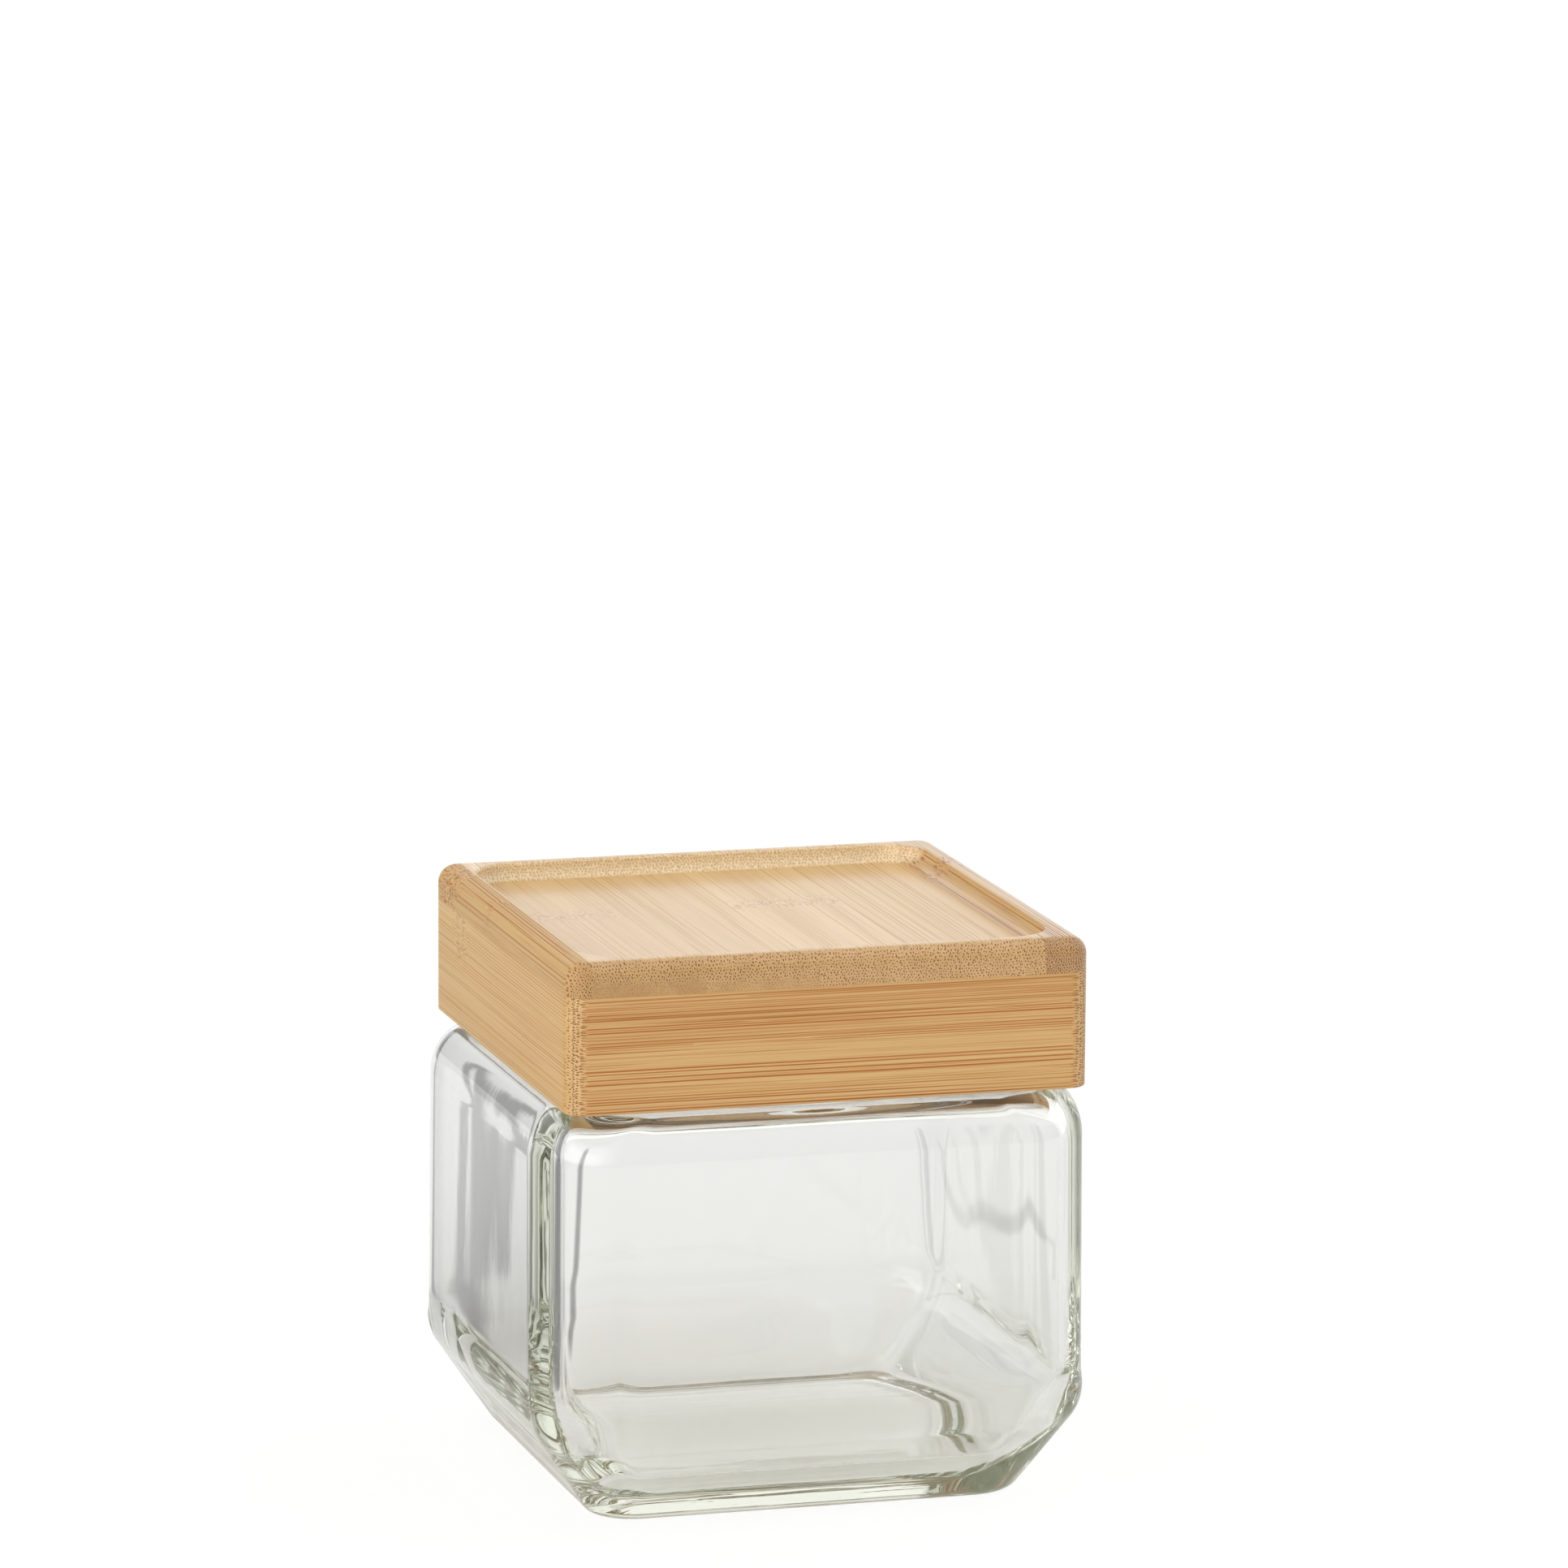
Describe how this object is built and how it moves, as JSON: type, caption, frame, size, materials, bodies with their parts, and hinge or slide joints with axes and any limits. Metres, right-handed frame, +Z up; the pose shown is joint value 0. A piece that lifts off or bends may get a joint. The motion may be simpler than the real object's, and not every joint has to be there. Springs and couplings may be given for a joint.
{
  "type": "square glass storage jar with lid",
  "caption": "Square clear glass storage jar with chamfered foot and a deep square bamboo lift-off lid with a stacking tray in its top.",
  "frame": {"origin": "centre of the jar body's footprint, on the plane that the jar stands on", "axes": "+Z up, -Y towards the front rail of the lid, +X to the right seen from the front"},
  "size_m": [0.1118, 0.1118, 0.1131],
  "materials": {
    "clear_glass": "clear pressed soda-lime glass, thick at the walls, faint yellow-green tint, slightly wavy inside",
    "bamboo_board": "pale bamboo, grain front to back, pores on the end grain, satin oil",
    "bamboo_rail": "golden bamboo with fine orange-brown fibre lines along each rail, satin oil",
    "bamboo_plug": "turned bamboo, grain front to back, sanded",
    "silicone_seal": "translucent white silicone, matt"
  },
  "bodies": {
    "jar": {"glass_jar": "clear_glass"},
    "lid": {"board_stave_1": "bamboo_board", "board_stave_2": "bamboo_board", "board_stave_3": "bamboo_board", "board_stave_4": "bamboo_board", "board_stave_5": "bamboo_board", "board_stave_6": "bamboo_board", "front_rail": "bamboo_rail", "right_rail": "bamboo_rail", "back_rail": "bamboo_rail", "left_rail": "bamboo_rail", "plug_disc": "bamboo_plug", "seal_ring": "silicone_seal"}
  },
  "joints": [
    {"name": "lid_lift", "type": "slide", "parent": "jar", "child": "lid", "axis": [0, 0, 1], "range_m": [0, 0.04]}
  ]
}
